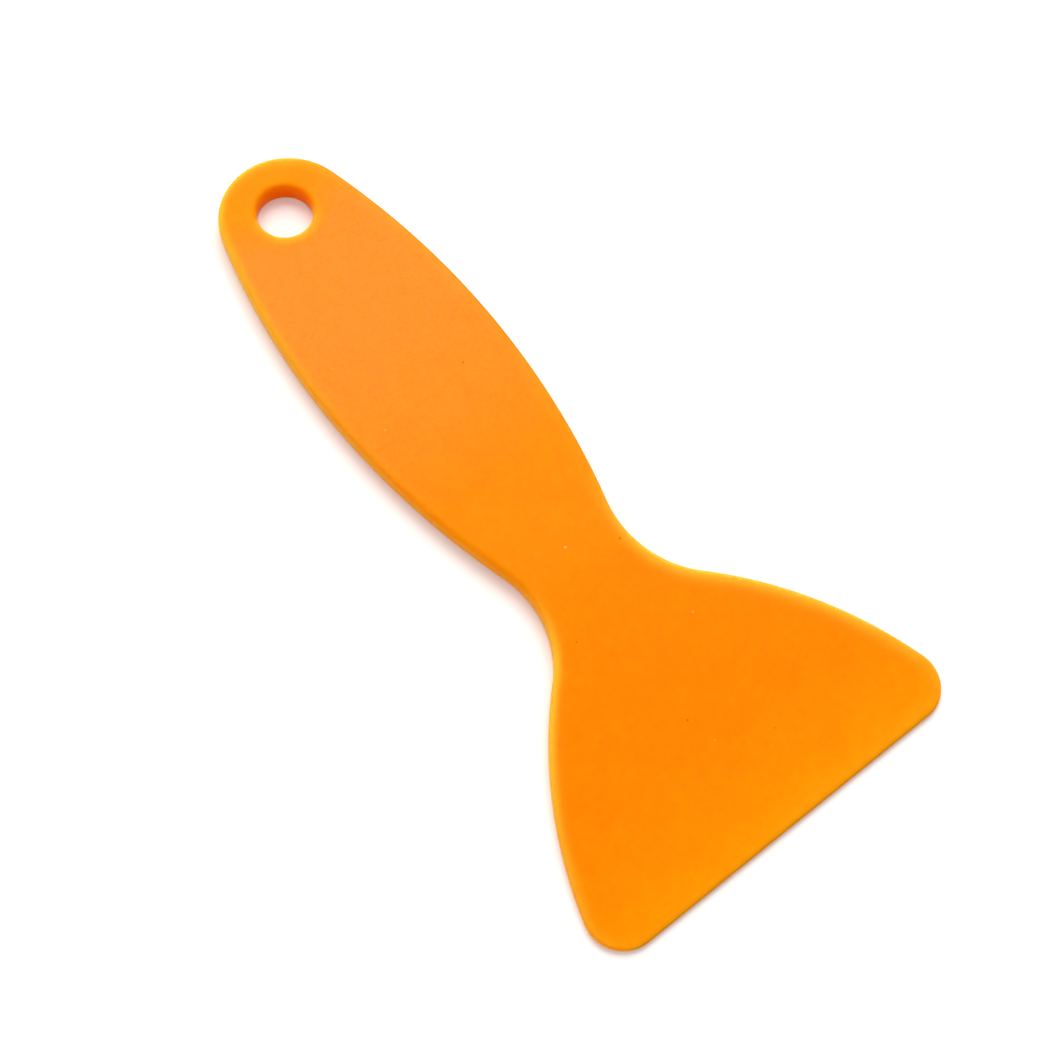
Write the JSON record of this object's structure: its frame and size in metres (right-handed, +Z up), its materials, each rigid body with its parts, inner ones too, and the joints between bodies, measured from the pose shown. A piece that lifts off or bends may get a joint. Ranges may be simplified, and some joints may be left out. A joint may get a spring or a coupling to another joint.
{
  "type": "plastic hand scraper",
  "caption": "One-piece moulded plastic hand scraper: leaf-shaped handle with a hang hole, narrow waist and a fish-tail blade that thins to a straight working edge.",
  "frame": {"origin": "on the flat underside, halfway along the overall length and width", "axes": "+X along the scraper from the handle's end to the working edge, +Y across the blade, +Z up from the flat underside through the thickness"},
  "size_m": [0.13, 0.0634, 0.0034],
  "materials": {
    "orange_plastic": "soft satin, faintly translucent orange polypropylene, as it comes from the mould"
  },
  "bodies": {
    "root": {"scraper_body": "orange_plastic"}
  },
  "joints": []
}
